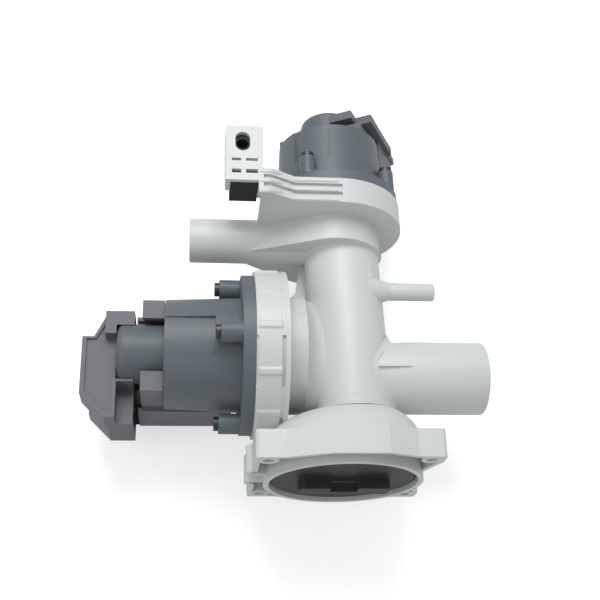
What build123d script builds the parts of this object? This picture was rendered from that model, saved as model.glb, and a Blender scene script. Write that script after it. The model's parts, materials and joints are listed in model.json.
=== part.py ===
"""Washing machine pump assembly: filter housing with a drain pump and a circulation pump.

The filter axis runs along Y, with the mounting face of the front flange at Y = 0 and the
filter knob facing -Y. The drain pump points to -X, the circulation pump to +Y. Z is up.
"""
from build123d import *
import os

# Shared allowances
cut_overrun = 2.0
seat_gap = 0.3
bearing_gap = 0.2
fit_gap = 0.1
moulded_wall = 2.4

# Front ring
ring_inner_radius = 32.8
ring_proud = 2.5
mouth_depth = 9.5

# Front flange skirt, seen from the front; distances from the filter axis
skirt_depth = 12.0
skirt_wall = 2.2
facet_height = 40.5
facet_left = 9.5
facet_right = 14.0
left_ear_height = 33.6
left_ear_inner = 28.0
left_ear_outer = 40.5
left_ear_foot = 12.0
tab_reach = 43.0
tab_height = 10.0
tab_foot = 5.0
right_ear_height = 35.2
right_ear_inner = 27.0
right_ear_outer = 39.0
right_ear_foot = 26.0
skirt_waist_height = 9.0
skirt_corner = 2.0
ear_screw_radius = 2.4
ear_boss_radius = 4.6
ear_screw_inset = 5.6

# Main tube and the shoulder between it and the flange
tube_radius = 17.8
tube_front_x = 7.2
tube_rear_x = 3.9
shoulder_mid_y = 18.5
shoulder_mid_x = 1.0
shoulder_mid_radius = 34.0
shoulder_end_y = 28.5
tube_bead_width = 1.6
tube_bead_height = 0.7

# Circulation volute and its flange, at the rear end of the main tube
volute_front_y = 107.5
volute_radius = 22.4
volute_lobe_radius = 23.5
volute_lobe_x = 5.0
volute_lobe_z = 6.0
volute_throat_x = 41.0
volute_throat_radius = 6.0
rear_flange_y = 120.4
rear_flange_depth = 12.6
rear_flange_radius = 33.3
rear_axis_x = 0.2
circulation_recess_radius = 24.6
circulation_ledge_depth = 8.0

# Circulation outlet, vent pipe and inlet
circulation_outlet_y = 115.9
circulation_outlet_radius = 10.6
circulation_outlet_bore = 8.6
circulation_outlet_end = 69.0
circulation_root_radius = 10.85
inlet_y = 46.8
inlet_root_radius = 14.7
inlet_end_radius = 16.7
inlet_wall = 2.5
inlet_straight_x = 32.0
inlet_end = 67.0
vent_y = 87.0
vent_z = 8.0
vent_radius = 4.2
vent_bore = 2.8
vent_end = 46.0
vent_root_x = 11.0
vent_root_radius = 8.5
tube_lip_fillet = 0.8
mark_rib_start = 16.0
mark_rib_end = 31.0
mark_rib_width = 0.9
mark_rib_height = 0.5

# Drain chamber on the left of the main tube
drain_axis_y = 57.2
drain_face_x = -39.7
drain_chamber_radius = 24.4
neck_radius = 27.0
neck_end_x = -16.5
port_radius = 12.0
drain_flange_radius = 37.0
drain_flange_width = 12.4
lug_height = 1.3
rim_width = 2.0
rim_height = 1.7
drain_recess_radius = 26.4
lug_spans = ((-98.0, 108.0), (-155.0, 23.0), (-240.0, 78.0))
drain_outlet_x = -21.0
drain_outlet_radius = 10.0
drain_outlet_bore = 7.8
drain_outlet_end = 56.0
drain_outlet_root_radius = 10.6
web_z = 6.0
web_thickness = 2.4

# Arm and bracket at the rear left
arm_thickness = 3.2
arm_level = 33.4
arm_bend_x = 21.0
arm_rise_x = 33.0
arm_side_x = 37.0
groove_width = 2.2
groove_depth = 1.5
groove_end_x = 1.0
gusset_thickness = 2.6
bracket_left = 53.2
bracket_right = 36.0
bracket_front_y = 126.5
bracket_rear_y = 155.4
bracket_top = 40.0
bracket_bottom = 24.0
bracket_wall = 2.2
bracket_chamfer = 6.0
bracket_hole_x = 45.4
bracket_hole_y = 147.0
bracket_hole_radius = 3.4
bracket_hole_length = 10.0
slot_front_y = 131.2
slot_front_width = 2.0
slot_rear_y = 137.3
slot_rear_width = 1.4
slot_bar_x = 45.1
slot_bar_width = 2.2
slot_left_margin = 2.8
slot_right_margin = 2.6
rubber_drop = 3.5
rubber_hole_radius = 2.6

# Places where the housing moulding is divided into simple fields
outlet_field_x = 46.0
side_field_x = 24.5
flange_field_x = 24.5
vent_field_y = 75.0
rear_field_y = 105.0
drain_outlet_field_z = 39.5

# Filter knob, basket and seal
knob_face_y = -1.0
knob_depth = 8.5
knob_gap = 0.7
knob_chamfer = 1.0
grip_reach = 5.0
grip_left = 20.0
grip_right = 20.5
grip_half_height = 5.0
grip_fillet = 3.0
notch_half_width = 6.0
notch_depth = 3.2
notch_drop = 6.0
seal_groove_y = 3.0
seal_groove_width = 2.6
seal_groove_depth = 1.8
stem_radius = 2.8
stem_head_radius = 3.8
stem_head_length = 1.6
basket_x = 6.2
basket_radius = 12.0
basket_wall = 1.4
basket_plate_radius = 25.0
basket_plate_thickness = 2.0
basket_end_y = 74.0
basket_slot_width = 5.0
basket_slot_count = 8
basket_rings = 4
basket_ring_width = 2.4

# Both motors; heights are measured from the flange face outwards
motor_flange_thickness = 5.5
spigot_depth = 3.0
gasket_thickness = 2.0
hood_root_radius = 26.2
hood_end_radius = 24.8
hood_wall = 2.4
hood_drop = 11.5
panel_angle = 42.0
panel_start = 17.0
panel_depth = 0.5
can_radius = 13.5
can_wall = 1.2
can_end_fillet = 3.0
boss_height = 15.0
screw_radius = 1.9
screw_head_radius = 3.2
screw_head_height = 2.2
screw_depth = 9.0
screw_recess_radius = 1.5
screw_recess_depth = 1.2
screw_count = 4
RIGHT_ANGLE = 90.0

# Rotor and impeller of both motors
shaft_radius = 1.9
magnet_radius = 11.2
magnet_bore = 5.0
bush_length = 5.0
rear_bush_length = 4.0
impeller_gap = 1.0
hub_radius = 8.0
hub_pocket_radius = 6.0
hub_pocket_depth = 6.0
dog_clearance = 0.5
dog_collar_radius = 3.1
dog_radius = 5.5
dog_angle = 60.0
stop_angle = 90.0
stop_margin = 8.0
blade_thickness = 1.8

# Stator of both motors; drops are measured from the rotor axis downwards
core_half_width = 19.0
core_top = 9.8
core_pole_gap = 0.4
core_window = 12.6
yoke_top = 22.0
yoke_bottom = 29.0
bobbin_wall = 1.0
bobbin_flange = 1.2
winding_depth = 4.4
tray_knee = 33.5
tray_bottom = 37.5
tray_bottom_half_width = 21.0
tray_wall = 1.8
tray_start = 8.5
post_cap = 2.2
post_gap = 0.3
box_rim = 2.0
box_rim_height = 1.0
box_lip = 1.6
box_lip_drop = 14.0
terminal_width = 6.3
terminal_thickness = 0.8
terminal_spacing = 8.0
terminal_drop = 25.0
terminal_setback = 2.0
socket_half_width = 9.0
socket_half_height = 4.0
cutout_length = 9.0
cutout_height = 6.0
cutout_thickness = 3.0

# Drain motor
drain_motor_flange_radius = 36.6
drain_screw_circle = 32.2
drain_screw_start = -93.0
drain_boss_radius = 4.6
drain_hood_length = 39.3
drain_can_end = 60.5
drain_core_start = 24.5
drain_core_end = 46.0
drain_post_end = 49.5
drain_box_start = 53.0
drain_box_end = 76.3
drain_box_low = -31.0
drain_box_high = 17.3
drain_box_top = 4.0
drain_step_low = 6.5
drain_step_top = 9.0
drain_box_corner = 11.0
drain_box_far_corner = 10.4
drain_notch_depth = 12.0
drain_impeller_radius = 21.0
drain_impeller_depth = 15.0
drain_blade_count = 4

# Circulation motor
circulation_motor_flange_radius = 32.6
circulation_screw_circle = 29.2
circulation_screw_start = -91.0
circulation_turn = 28.0
circulation_boss_radius = 3.7
circulation_hood_length = 35.5
circulation_can_end = 51.5
circulation_core_start = 24.5
circulation_core_end = 35.5
circulation_post_end = 40.0
circulation_box_start = 43.0
circulation_box_end = 51.5
circulation_box_low = -23.0
circulation_box_high = 25.5
circulation_box_top = -14.2
circulation_step_low = 6.5
circulation_step_high = 17.5
circulation_step_top = 13.5
circulation_side_step_low = 14.5
circulation_side_step_top = 6.0
circulation_box_corner = 5.0
circulation_box_far_corner = 4.0
circulation_impeller_radius = 18.0
circulation_impeller_depth = 12.0
circulation_blade_count = 6

# Sizes that follow
ring_outer_radius = ring_inner_radius + moulded_wall
tube_bore = tube_radius - moulded_wall
shoulder_bore = shoulder_mid_radius - moulded_wall - seat_gap
tube_end_y = volute_front_y + moulded_wall
rear_face_y = rear_flange_y + rear_flange_depth
circulation_ledge_radius = circulation_recess_radius - moulded_wall
drain_outlet_y = drain_axis_y + drain_chamber_radius - drain_outlet_bore
bracket_mid_x = (bracket_left + bracket_right) / 2
shaft_bore = shaft_radius + bearing_gap
can_bore = can_radius - can_wall
can_bore_fillet = can_end_fillet - can_wall
tray_half_width = core_half_width + post_gap + post_cap + tray_wall
port_bore = port_radius - moulded_wall
drain_band_radius = drain_flange_radius + rim_height
yoke_middle = (yoke_top + yoke_bottom) / 2
volute_lobe_bore = volute_lobe_radius - moulded_wall
drain_steps = ((drain_step_low, drain_box_high, drain_step_top),)
circulation_steps = (
    (circulation_step_low, circulation_step_high, circulation_step_top),
    (circulation_side_step_low, circulation_box_high, circulation_side_step_top),
)
slot_spans = (
    (bracket_left - slot_left_margin, slot_bar_x + slot_bar_width / 2),
    (slot_bar_x - slot_bar_width / 2, bracket_right + slot_right_margin),
)


# Planes
def front_plane(y):
    """Plane across the filter axis at a depth; its axes are X and Z, and it faces the front."""
    return Plane.XZ.offset(-y)


def circle_at(x, z, radius):
    """A circle in the current sketch."""
    with Locations((x, z)):
        Circle(radius)


def last_circles(part_so_far, axis):
    """Round edges that the last operation made, sorted along an axis."""
    return part_so_far.edges(Select.LAST).filter_by(GeomType.CIRCLE).sort_by(axis)


def ring_sector(inner, outer, start, size):
    """A sector of a ring, to be added to a sketch."""
    with BuildSketch() as sector:
        with BuildLine():
            outer_arc = CenterArc((0, 0), outer, start, size)
            inner_arc = CenterArc((0, 0), inner, start, size)
            Line(outer_arc @ 0, inner_arc @ 0)
            Line(outer_arc @ 1, inner_arc @ 1)
        make_face()
    return sector.sketch


drain_base = Plane(origin=(drain_face_x, drain_axis_y, 0), x_dir=(0, 1, 0), z_dir=(-1, 0, 0))
circulation_base = Plane(
    origin=(rear_axis_x, rear_face_y, 0),
    x_dir=Vector(1, 0, 0).rotate(Axis.Y, -circulation_turn),
    z_dir=(0, 1, 0),
)
tube_plane = Plane(
    origin=(tube_front_x, skirt_depth, 0),
    z_dir=(tube_rear_x - tube_front_x, tube_end_y - skirt_depth, 0),
)
tube_length = tube_end_y - skirt_depth
bead_plane = tube_plane.offset(shoulder_end_y - skirt_depth)

# Outline of the flange skirt, from the right waist over the top to the left waist
skirt_top_points = [
    (ring_inner_radius, skirt_waist_height),
    (right_ear_outer, right_ear_foot),
    (right_ear_outer, right_ear_height),
    (right_ear_inner, right_ear_height),
    (facet_right, facet_height),
    (-facet_left, facet_height),
    (-left_ear_inner, left_ear_height),
    (-left_ear_outer, left_ear_height),
    (-left_ear_outer, left_ear_foot),
    (-tab_reach, tab_height),
    (-tab_reach, tab_foot),
    (-ring_inner_radius, tab_foot),
]
skirt_points = skirt_top_points + [(x, -z) for x, z in reversed(skirt_top_points)]
left_ear_hole = (-left_ear_outer + ear_screw_inset, left_ear_height - ear_screw_inset)
right_ear_hole = (right_ear_outer - ear_screw_inset, right_ear_height - ear_screw_inset)
ear_holes = [
    left_ear_hole,
    right_ear_hole,
    (left_ear_hole[0], -left_ear_hole[1]),
    (right_ear_hole[0], -right_ear_hole[1]),
]

# Outline of the arm from the top of the rear flange to the bracket
arm_points = [
    (rear_axis_x, arm_level),
    (-arm_bend_x, arm_level),
    (-arm_rise_x, bracket_top),
    (-bracket_right - bracket_wall, bracket_top),
    (-bracket_right - bracket_wall, bracket_top - arm_thickness),
    (-arm_rise_x, bracket_top - arm_thickness),
    (-arm_bend_x, arm_level - arm_thickness),
    (rear_axis_x, arm_level - arm_thickness),
]
gusset_points = [
    (rear_axis_x, arm_level - arm_thickness),
    (-arm_bend_x, arm_level - arm_thickness),
    (-arm_rise_x, bracket_top - arm_thickness),
    (-arm_side_x, bracket_top - arm_thickness),
    (-arm_side_x, 0),
    (rear_axis_x, 0),
]


# Lugs around the drain flange
drain_lugs = [
    ring_sector(neck_radius, drain_flange_radius + lug_height, lug_start, lug_size)
    for lug_start, lug_size in lug_spans
]


# Pump housing, the whole moulding
with BuildPart() as moulding:
    # Flange skirt and ring
    with BuildSketch(front_plane(0)) as skirt:
        with BuildLine():
            Polyline(*skirt_points, close=True)
        make_face()
        fillet(skirt.vertices(), radius=skirt_corner)
    extrude(amount=-skirt_depth)
    with BuildSketch(front_plane(-ring_proud)):
        Circle(ring_outer_radius)
    extrude(amount=-(ring_proud + skirt_depth))

    # Shoulder down to the main tube
    with BuildSketch(front_plane(skirt_depth)):
        Circle(ring_outer_radius + moulded_wall)
    with BuildSketch(front_plane(shoulder_mid_y)):
        circle_at(shoulder_mid_x, 0, shoulder_mid_radius)
    with BuildSketch(front_plane(shoulder_end_y)):
        circle_at(tube_front_x, 0, tube_radius)
    loft()
    with BuildSketch(tube_plane):
        Circle(tube_radius)
    extrude(amount=tube_length)
    with BuildSketch(bead_plane):
        Circle(tube_radius + tube_bead_height)
    extrude(amount=tube_bead_width)

    # Circulation volute: a round body with a lobe that grows towards the outlet
    with BuildSketch(front_plane(volute_front_y)):
        circle_at(rear_axis_x, 0, volute_radius)
        circle_at(rear_axis_x - volute_lobe_x, -volute_lobe_z, volute_lobe_radius)
        circle_at(-volute_throat_x, 0, volute_throat_radius)
        make_hull()
    extrude(amount=-(rear_flange_y - volute_front_y))
    with BuildSketch(front_plane(rear_flange_y)):
        circle_at(rear_axis_x, 0, rear_flange_radius)
    extrude(amount=-rear_flange_depth)

    # Arm with its gusset
    with BuildSketch(front_plane(rear_flange_y)):
        with BuildLine():
            Polyline(*arm_points, close=True)
        make_face()
    extrude(amount=-rear_flange_depth)
    with BuildSketch(front_plane(rear_flange_y)):
        with BuildLine():
            Polyline(*gusset_points, close=True)
        make_face()
    extrude(amount=-gusset_thickness)

    # Bracket block
    with BuildSketch(front_plane(bracket_front_y)):
        with BuildLine():
            Polyline(
                (-bracket_right, bracket_top),
                (-bracket_left, bracket_top),
                (-bracket_left, bracket_bottom),
                (-bracket_right, bracket_bottom),
                close=True,
            )
        make_face()
    extrude(amount=-(bracket_rear_y - bracket_front_y))

    # Drain chamber with its lugged flange
    with BuildSketch(drain_base.offset(drain_face_x - neck_end_x)):
        Circle(neck_radius)
    extrude(amount=neck_end_x - drain_face_x)
    with BuildSketch(drain_base.offset(drain_face_x - neck_end_x)):
        Circle(port_radius)
    extrude(amount=neck_end_x - tube_front_x)
    with BuildSketch(drain_base.offset(-drain_flange_width)):
        Circle(drain_flange_radius)
    extrude(amount=drain_flange_width)
    with BuildSketch(drain_base.offset(-drain_flange_width)):
        add(drain_lugs)
    extrude(amount=drain_flange_width)
    with BuildSketch(drain_base.offset(-drain_flange_width - rim_width)):
        Circle(drain_flange_radius + rim_height)
    extrude(amount=rim_width)

    # Tubes: circulation outlet, inlet, vent and drain outlet
    with BuildSketch(Plane.YZ.offset(-circulation_outlet_end)):
        circle_at(circulation_outlet_y, 0, circulation_outlet_radius)
    extrude(amount=circulation_outlet_end - outlet_field_x)
    fillet(last_circles(moulding, Axis.X)[0], radius=tube_lip_fillet)
    with BuildSketch(Plane.YZ.offset(-outlet_field_x)):
        circle_at(circulation_outlet_y, 0, circulation_outlet_radius)
    with BuildSketch(Plane.YZ.offset(-volute_lobe_x)):
        circle_at(circulation_outlet_y, 0, circulation_root_radius)
    loft()
    with BuildSketch(Plane.YZ.offset(inlet_straight_x)):
        circle_at(inlet_y, 0, inlet_end_radius)
    with BuildSketch(Plane.YZ.offset(tube_rear_x + inlet_wall)):
        circle_at(inlet_y, 0, inlet_root_radius)
    loft()
    with BuildSketch(Plane.YZ.offset(inlet_straight_x)):
        circle_at(inlet_y, 0, inlet_end_radius)
    extrude(amount=inlet_end - inlet_straight_x)
    fillet(last_circles(moulding, Axis.X)[-1], radius=tube_lip_fillet)
    with BuildSketch(Plane.YZ.offset(vent_root_x)):
        circle_at(vent_y, vent_z, vent_root_radius)
    with BuildSketch(Plane.YZ.offset(side_field_x)):
        circle_at(vent_y, vent_z, vent_radius)
    loft()
    with BuildSketch(Plane.YZ.offset(side_field_x)):
        circle_at(vent_y, vent_z, vent_radius)
    extrude(amount=vent_end - side_field_x)
    fillet(last_circles(moulding, Axis.X)[-1], radius=tube_lip_fillet)
    with BuildSketch(Plane.XY.offset(-drain_outlet_field_z)):
        circle_at(drain_outlet_x, drain_outlet_y, drain_outlet_root_radius)
    extrude(amount=drain_outlet_field_z)
    with BuildSketch(Plane.XY.offset(-drain_outlet_end)):
        circle_at(drain_outlet_x, drain_outlet_y, drain_outlet_radius)
    extrude(amount=drain_outlet_end - drain_outlet_field_z)
    fillet(last_circles(moulding, Axis.Z)[0], radius=tube_lip_fillet)
    with BuildSketch(Plane.XY):
        with Locations(((mark_rib_start + mark_rib_end) / 2, inlet_y)):
            Rectangle(mark_rib_end - mark_rib_start, mark_rib_width)
    extrude(amount=inlet_end_radius + mark_rib_height)

    # Web between the chamber and the volute
    with BuildSketch(Plane.XY.offset(-web_z - web_thickness)):
        with BuildLine():
            Polyline(
                (0, drain_axis_y),
                (-neck_radius, drain_axis_y + neck_radius / 2),
                (-neck_radius + moulded_wall, drain_axis_y + neck_radius),
                (-tube_radius, volute_front_y - tube_radius + moulded_wall),
                (-tube_radius + moulded_wall, volute_front_y),
                (0, volute_front_y),
                close=True,
            )
        make_face()
    extrude(amount=web_thickness)

    # Groove between the skirt and the ring
    with BuildSketch(front_plane(-cut_overrun)):
        with BuildLine():
            Polyline(*skirt_points, close=True)
        make_face()
        offset(amount=-skirt_wall)
        Circle(ring_outer_radius, mode=Mode.SUBTRACT)
    extrude(amount=-(cut_overrun + skirt_depth - skirt_wall), mode=Mode.SUBTRACT)
    with BuildSketch(front_plane(0)):
        with Locations(*ear_holes):
            Circle(ear_boss_radius)
    extrude(amount=-skirt_depth)
    with BuildSketch(front_plane(-cut_overrun)):
        with Locations(*ear_holes):
            Circle(ear_screw_radius)
    extrude(amount=-(skirt_depth + cut_overrun + cut_overrun), mode=Mode.SUBTRACT)

    # Filter mouth, shoulder cavity and the bore of the main tube
    with BuildSketch(front_plane(-ring_proud - cut_overrun)):
        Circle(ring_inner_radius)
    extrude(amount=-(cut_overrun + ring_proud + mouth_depth), mode=Mode.SUBTRACT)
    with BuildSketch(front_plane(mouth_depth)):
        Circle(ring_inner_radius)
    with BuildSketch(front_plane(shoulder_mid_y)):
        circle_at(shoulder_mid_x, 0, shoulder_bore)
    with BuildSketch(front_plane(shoulder_end_y)):
        circle_at(tube_front_x, 0, tube_bore)
    loft(mode=Mode.SUBTRACT)
    with BuildSketch(tube_plane.offset(moulded_wall)):
        Circle(tube_bore)
    extrude(amount=tube_length, mode=Mode.SUBTRACT)

    # Inside of the volute and the recess for the circulation motor
    with BuildSketch(front_plane(volute_front_y + moulded_wall)):
        circle_at(rear_axis_x, 0, volute_radius - moulded_wall)
        circle_at(rear_axis_x - volute_lobe_x, -volute_lobe_z, volute_lobe_bore)
        make_hull()
    extrude(
        amount=-(rear_face_y - circulation_ledge_depth - volute_front_y - moulded_wall),
        mode=Mode.SUBTRACT,
    )
    with BuildSketch(front_plane(volute_front_y + moulded_wall)):
        circle_at(rear_axis_x - volute_lobe_x, -volute_lobe_z, volute_lobe_bore)
        circle_at(-volute_throat_x, 0, volute_throat_radius - moulded_wall)
        make_hull()
    extrude(
        amount=-(rear_flange_y - volute_front_y - moulded_wall - moulded_wall),
        mode=Mode.SUBTRACT,
    )
    with BuildSketch(circulation_base.offset(-circulation_ledge_depth)):
        Circle(circulation_ledge_radius)
    extrude(amount=circulation_ledge_depth + cut_overrun, mode=Mode.SUBTRACT)
    with BuildSketch(circulation_base.offset(-spigot_depth - gasket_thickness)):
        Circle(circulation_recess_radius)
    extrude(amount=spigot_depth + gasket_thickness + cut_overrun, mode=Mode.SUBTRACT)

    # Inside of the drain chamber and the recess for the drain motor
    with BuildSketch(drain_base.offset(drain_face_x - neck_end_x + moulded_wall)):
        Circle(drain_chamber_radius)
    extrude(amount=neck_end_x - drain_face_x - moulded_wall + cut_overrun, mode=Mode.SUBTRACT)
    with BuildSketch(drain_base.offset(drain_face_x - neck_end_x + moulded_wall)):
        Circle(port_bore)
    extrude(amount=neck_end_x - moulded_wall - tube_front_x, mode=Mode.SUBTRACT)
    with BuildSketch(drain_base.offset(-spigot_depth - gasket_thickness)):
        Circle(drain_recess_radius)
    extrude(amount=spigot_depth + gasket_thickness + cut_overrun, mode=Mode.SUBTRACT)

    # Bores of the tubes
    with BuildSketch(Plane.YZ.offset(-circulation_outlet_end - cut_overrun)):
        circle_at(circulation_outlet_y, 0, circulation_outlet_bore)
    extrude(
        amount=circulation_outlet_end + cut_overrun - volute_lobe_x - volute_radius / 2,
        mode=Mode.SUBTRACT,
    )
    with BuildSketch(Plane.YZ.offset(inlet_straight_x)):
        circle_at(inlet_y, 0, inlet_end_radius - inlet_wall)
    with BuildSketch(Plane.YZ.offset(tube_rear_x + inlet_wall)):
        circle_at(inlet_y, 0, inlet_root_radius - inlet_wall)
    loft(mode=Mode.SUBTRACT)
    with BuildSketch(Plane.YZ.offset(inlet_straight_x)):
        circle_at(inlet_y, 0, inlet_end_radius - inlet_wall)
    extrude(amount=inlet_end - inlet_straight_x + cut_overrun, mode=Mode.SUBTRACT)
    with BuildSketch(Plane.YZ.offset(tube_rear_x)):
        circle_at(vent_y, vent_z, vent_bore)
    extrude(amount=vent_end + cut_overrun, mode=Mode.SUBTRACT)
    with BuildSketch(Plane.XY.offset(-drain_outlet_end - cut_overrun)):
        circle_at(drain_outlet_x, drain_outlet_y, drain_outlet_bore)
    extrude(amount=drain_outlet_end + cut_overrun, mode=Mode.SUBTRACT)

    # Screw holes in the two motor flanges
    with BuildSketch(drain_base.offset(-screw_depth - cut_overrun)):
        with PolarLocations(drain_screw_circle, screw_count, start_angle=drain_screw_start):
            Circle(screw_radius + fit_gap / 2)
    extrude(amount=screw_depth + cut_overrun + cut_overrun, mode=Mode.SUBTRACT)
    with BuildSketch(circulation_base.offset(-screw_depth - cut_overrun)):
        with PolarLocations(
            circulation_screw_circle, screw_count, start_angle=circulation_screw_start
        ):
            Circle(screw_radius + fit_gap / 2)
    extrude(amount=screw_depth + cut_overrun + cut_overrun, mode=Mode.SUBTRACT)

    # Hollow of the bracket, open to the front and below
    with BuildSketch(front_plane(bracket_front_y - cut_overrun)):
        with BuildLine():
            Polyline(
                (-bracket_right - bracket_wall, bracket_top - bracket_wall),
                (-bracket_left + bracket_wall, bracket_top - bracket_wall),
                (-bracket_left + bracket_wall, bracket_bottom - cut_overrun),
                (-bracket_right - bracket_wall, bracket_bottom - cut_overrun),
                close=True,
            )
        make_face()
    extrude(
        amount=-(bracket_rear_y - bracket_front_y + cut_overrun - bracket_wall),
        mode=Mode.SUBTRACT,
    )
    with BuildSketch(Plane.YZ.offset(-bracket_left - cut_overrun)):
        with BuildLine():
            Polyline(
                (bracket_front_y - cut_overrun, bracket_bottom - cut_overrun),
                (bracket_front_y + bracket_chamfer, bracket_bottom - cut_overrun),
                (bracket_front_y + bracket_chamfer, bracket_bottom),
                (bracket_front_y, bracket_bottom + bracket_chamfer),
                (bracket_front_y - cut_overrun, bracket_bottom + bracket_chamfer),
                close=True,
            )
        make_face()
    extrude(amount=bracket_wall + cut_overrun + cut_overrun, mode=Mode.SUBTRACT)

    # Hole and slots in the top plate of the bracket
    with BuildSketch(Plane.XY.offset(bracket_top - bracket_wall - cut_overrun)):
        with Locations((-bracket_hole_x, bracket_hole_y)):
            SlotOverall(bracket_hole_length, bracket_hole_radius + bracket_hole_radius, rotation=90)
        for slot_y, slot_width in ((slot_front_y, slot_front_width), (slot_rear_y, slot_rear_width)):
            for slot_start, slot_stop in slot_spans:
                with Locations((-(slot_start + slot_stop) / 2, slot_y)):
                    Rectangle(slot_start - slot_stop, slot_width)
    extrude(amount=bracket_wall + cut_overrun + cut_overrun, mode=Mode.SUBTRACT)

    # Two long grooves along the top of the arm
    for groove_share in (1, 2):
        groove_y = rear_flange_y + rear_flange_depth * groove_share / 3
        with BuildSketch(front_plane(groove_y - groove_width / 2)):
            with BuildLine():
                Polyline(
                    (groove_end_x, arm_level - groove_depth),
                    (groove_end_x, bracket_top + cut_overrun),
                    (-bracket_right, bracket_top + cut_overrun),
                    (-bracket_right, bracket_top - groove_depth),
                    (-arm_rise_x, bracket_top - groove_depth),
                    (-arm_bend_x, arm_level - groove_depth),
                    close=True,
                )
            make_face()
        extrude(amount=-groove_width, mode=Mode.SUBTRACT)


def field_block(x_span, y_span, z_span, mode=Mode.INTERSECT):
    """A block between two places on each axis, which keeps its field of the moulding."""
    spans = (x_span, y_span, z_span)
    with Locations(tuple((low + high) / 2 for low, high in spans)):
        Box(*(high - low for low, high in spans), mode=mode)


# Limits that lie beyond the moulding on every side
left_limit = -circulation_outlet_end - cut_overrun
right_limit = inlet_end + cut_overrun
front_limit = -ring_proud - cut_overrun
rear_limit = bracket_rear_y + cut_overrun
low_limit = -drain_outlet_end - cut_overrun
high_limit = facet_height + cut_overrun
full_height = (low_limit, high_limit)
middle_span = (shoulder_end_y, rear_field_y)
outlet_height = (-circulation_outlet_radius - cut_overrun, circulation_outlet_radius + cut_overrun)

# The field of the drain flange is a disc across the drain axis
with BuildPart() as drain_band_field:
    with BuildSketch(drain_base.offset(drain_face_x + flange_field_x)):
        Circle(drain_band_radius)
    extrude(amount=-drain_face_x - flange_field_x + cut_overrun)
with BuildPart() as drain_chamber_field:
    field_block(
        (left_limit, neck_end_x), middle_span, (-drain_outlet_field_z, high_limit), mode=Mode.ADD
    )
    add(drain_band_field.part)

# Skirt, ring and shoulder
with BuildPart() as housing_front_flange:
    add(moulding.part)
    field_block((left_limit, right_limit), (front_limit, shoulder_end_y), full_height)
    add(drain_band_field.part, mode=Mode.SUBTRACT)

# Main tube, with the inlet and the vent on its right
with BuildPart() as housing_main_tube:
    add(moulding.part)
    field_block((neck_end_x, side_field_x), middle_span, (-drain_outlet_field_z, high_limit))
with BuildPart() as housing_inlet:
    add(moulding.part)
    field_block((side_field_x, right_limit), (shoulder_end_y, vent_field_y), full_height)
with BuildPart() as housing_vent:
    add(moulding.part)
    field_block((side_field_x, right_limit), (vent_field_y, rear_field_y), full_height)

# Drain chamber with its flange, and the outlet below it
with BuildPart() as housing_drain_chamber:
    add(moulding.part)
    add(drain_chamber_field.part, mode=Mode.INTERSECT)
with BuildPart() as housing_drain_outlet:
    add(moulding.part)
    field_block((left_limit, right_limit), middle_span, (low_limit, -drain_outlet_field_z))

# Circulation outlet, arm with the bracket, and the volute with its flange
with BuildPart() as housing_circulation_outlet:
    add(moulding.part)
    field_block((left_limit, -outlet_field_x), (rear_field_y, rear_limit), outlet_height)
with BuildPart() as housing_bracket_arm:
    add(moulding.part)
    field_block((left_limit, rear_axis_x), (rear_flange_y, rear_limit), (outlet_height[1], high_limit))
    with BuildSketch(circulation_base.offset(-rear_flange_depth - cut_overrun)):
        Circle(rear_flange_radius)
    extrude(amount=rear_flange_depth + cut_overrun + cut_overrun, mode=Mode.SUBTRACT)
with BuildPart() as housing_volute:
    add(moulding.part)
    field_block((left_limit, right_limit), (rear_field_y, rear_limit), full_height)
    add(housing_circulation_outlet.part, mode=Mode.SUBTRACT)
    add(housing_bracket_arm.part, mode=Mode.SUBTRACT)


# Rubber block in the bracket
with BuildPart() as mount_rubber:
    with BuildSketch(Plane.XY.offset(bracket_bottom - rubber_drop)):
        with Locations((-bracket_mid_x, (bracket_front_y + bracket_rear_y - bracket_wall) / 2)):
            Rectangle(
                bracket_left - bracket_right - bracket_wall - bracket_wall,
                bracket_rear_y - bracket_front_y - bracket_wall,
            )
        with Locations((-bracket_hole_x, bracket_hole_y)):
            Circle(rubber_hole_radius, mode=Mode.SUBTRACT)
    extrude(amount=bracket_top - bracket_wall - bracket_bottom + rubber_drop)


# Filter knob: plug, grip bar and the stem that carries the basket
with BuildPart() as filter_knob:
    with BuildSketch(front_plane(knob_face_y)):
        Circle(ring_inner_radius - knob_gap)
    extrude(amount=-knob_depth)
    chamfer(
        filter_knob.edges().filter_by(GeomType.CIRCLE).group_by(Axis.Y)[0], length=knob_chamfer
    )
    with BuildSketch(front_plane(knob_face_y)):
        with Locations(((grip_right - grip_left) / 2, 0)):
            RectangleRounded(
                grip_left + grip_right, grip_half_height + grip_half_height, grip_fillet
            )
    extrude(amount=grip_reach)
    with BuildSketch(front_plane(knob_face_y - grip_reach)):
        with Locations((0, grip_half_height - notch_drop / 2)):
            Rectangle(notch_half_width + notch_half_width, notch_drop)
    extrude(amount=-notch_depth, mode=Mode.SUBTRACT)
    with BuildSketch(front_plane(seal_groove_y)):
        Circle(ring_inner_radius)
        Circle(ring_inner_radius - knob_gap - seal_groove_depth, mode=Mode.SUBTRACT)
    extrude(amount=-seal_groove_width, mode=Mode.SUBTRACT)
    with BuildSketch(front_plane(knob_face_y + knob_depth)):
        Circle(stem_radius)
    extrude(amount=-(seat_gap + basket_plate_thickness + seat_gap))
    with BuildSketch(
        front_plane(knob_face_y + knob_depth + seat_gap + basket_plate_thickness + seat_gap)
    ):
        Circle(stem_head_radius)
    extrude(amount=-stem_head_length)


# Seal ring in the groove of the knob
with BuildPart() as filter_seal:
    with BuildSketch(front_plane(seal_groove_y + fit_gap)):
        Circle(ring_inner_radius - seat_gap)
        Circle(ring_inner_radius - knob_gap - seal_groove_depth, mode=Mode.SUBTRACT)
    extrude(amount=-(seal_groove_width - fit_gap - fit_gap))


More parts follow.
